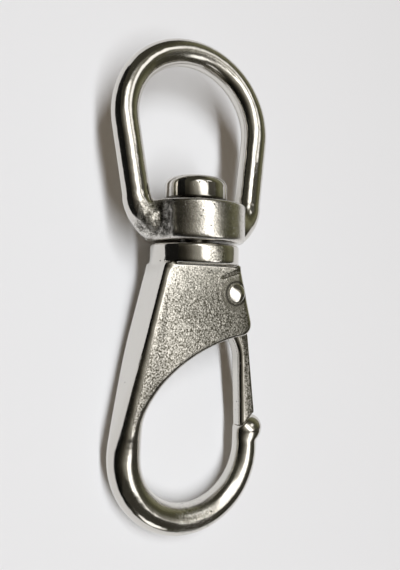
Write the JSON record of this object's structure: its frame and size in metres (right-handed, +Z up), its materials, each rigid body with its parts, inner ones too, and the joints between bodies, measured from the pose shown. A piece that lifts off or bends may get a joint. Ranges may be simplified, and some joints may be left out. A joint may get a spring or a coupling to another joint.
{
  "type": "swivel snap hook",
  "caption": "Cast stainless snap hook with a sprung inward gate, and a rounded bow that turns freely on a headed stud, for joining ropes, leads, straps and chains.",
  "frame": {"origin": "Middle of the bounding box's underside, with the hook lying on its boss and its bend as it rests on a table.", "axes": "+Y runs along the hook from its bend to the bow, +Z is up out of the table, and +X points to the gate's side."},
  "size_m": [0.031, 0.0878, 0.0183],
  "materials": {
    "cast_steel": "Cast stainless steel: blasted flat faces, polished rounded edges.",
    "polished_steel": "Polished stainless steel with faint casting pits.",
    "spring_steel": "Drawn stainless spring wire, satin."
  },
  "bodies": {
    "hook": {"hook_body": "cast_steel", "swivel_stud": "polished_steel", "gate_pin": "polished_steel", "gate_spring": "spring_steel"},
    "eye": {"swivel_eye": "polished_steel"},
    "gate": {"gate": "cast_steel"}
  },
  "joints": [
    {"name": "eye_swivel", "type": "hinge", "parent": "hook", "child": "eye", "pos_m": [0, 0.01008, 0.00915], "axis": [0, 0.9922, 0.1249], "continuous": true},
    {"name": "gate_hinge", "type": "hinge", "parent": "hook", "child": "gate", "pos_m": [0.00615, -0.00187, 0.00764], "axis": [0, 0.1249, -0.9922], "range_deg": [0, 30], "stiffness_Nm_per_rad": 0.15, "springref_deg": -57.3, "deforming": ["gate_spring"]}
  ]
}
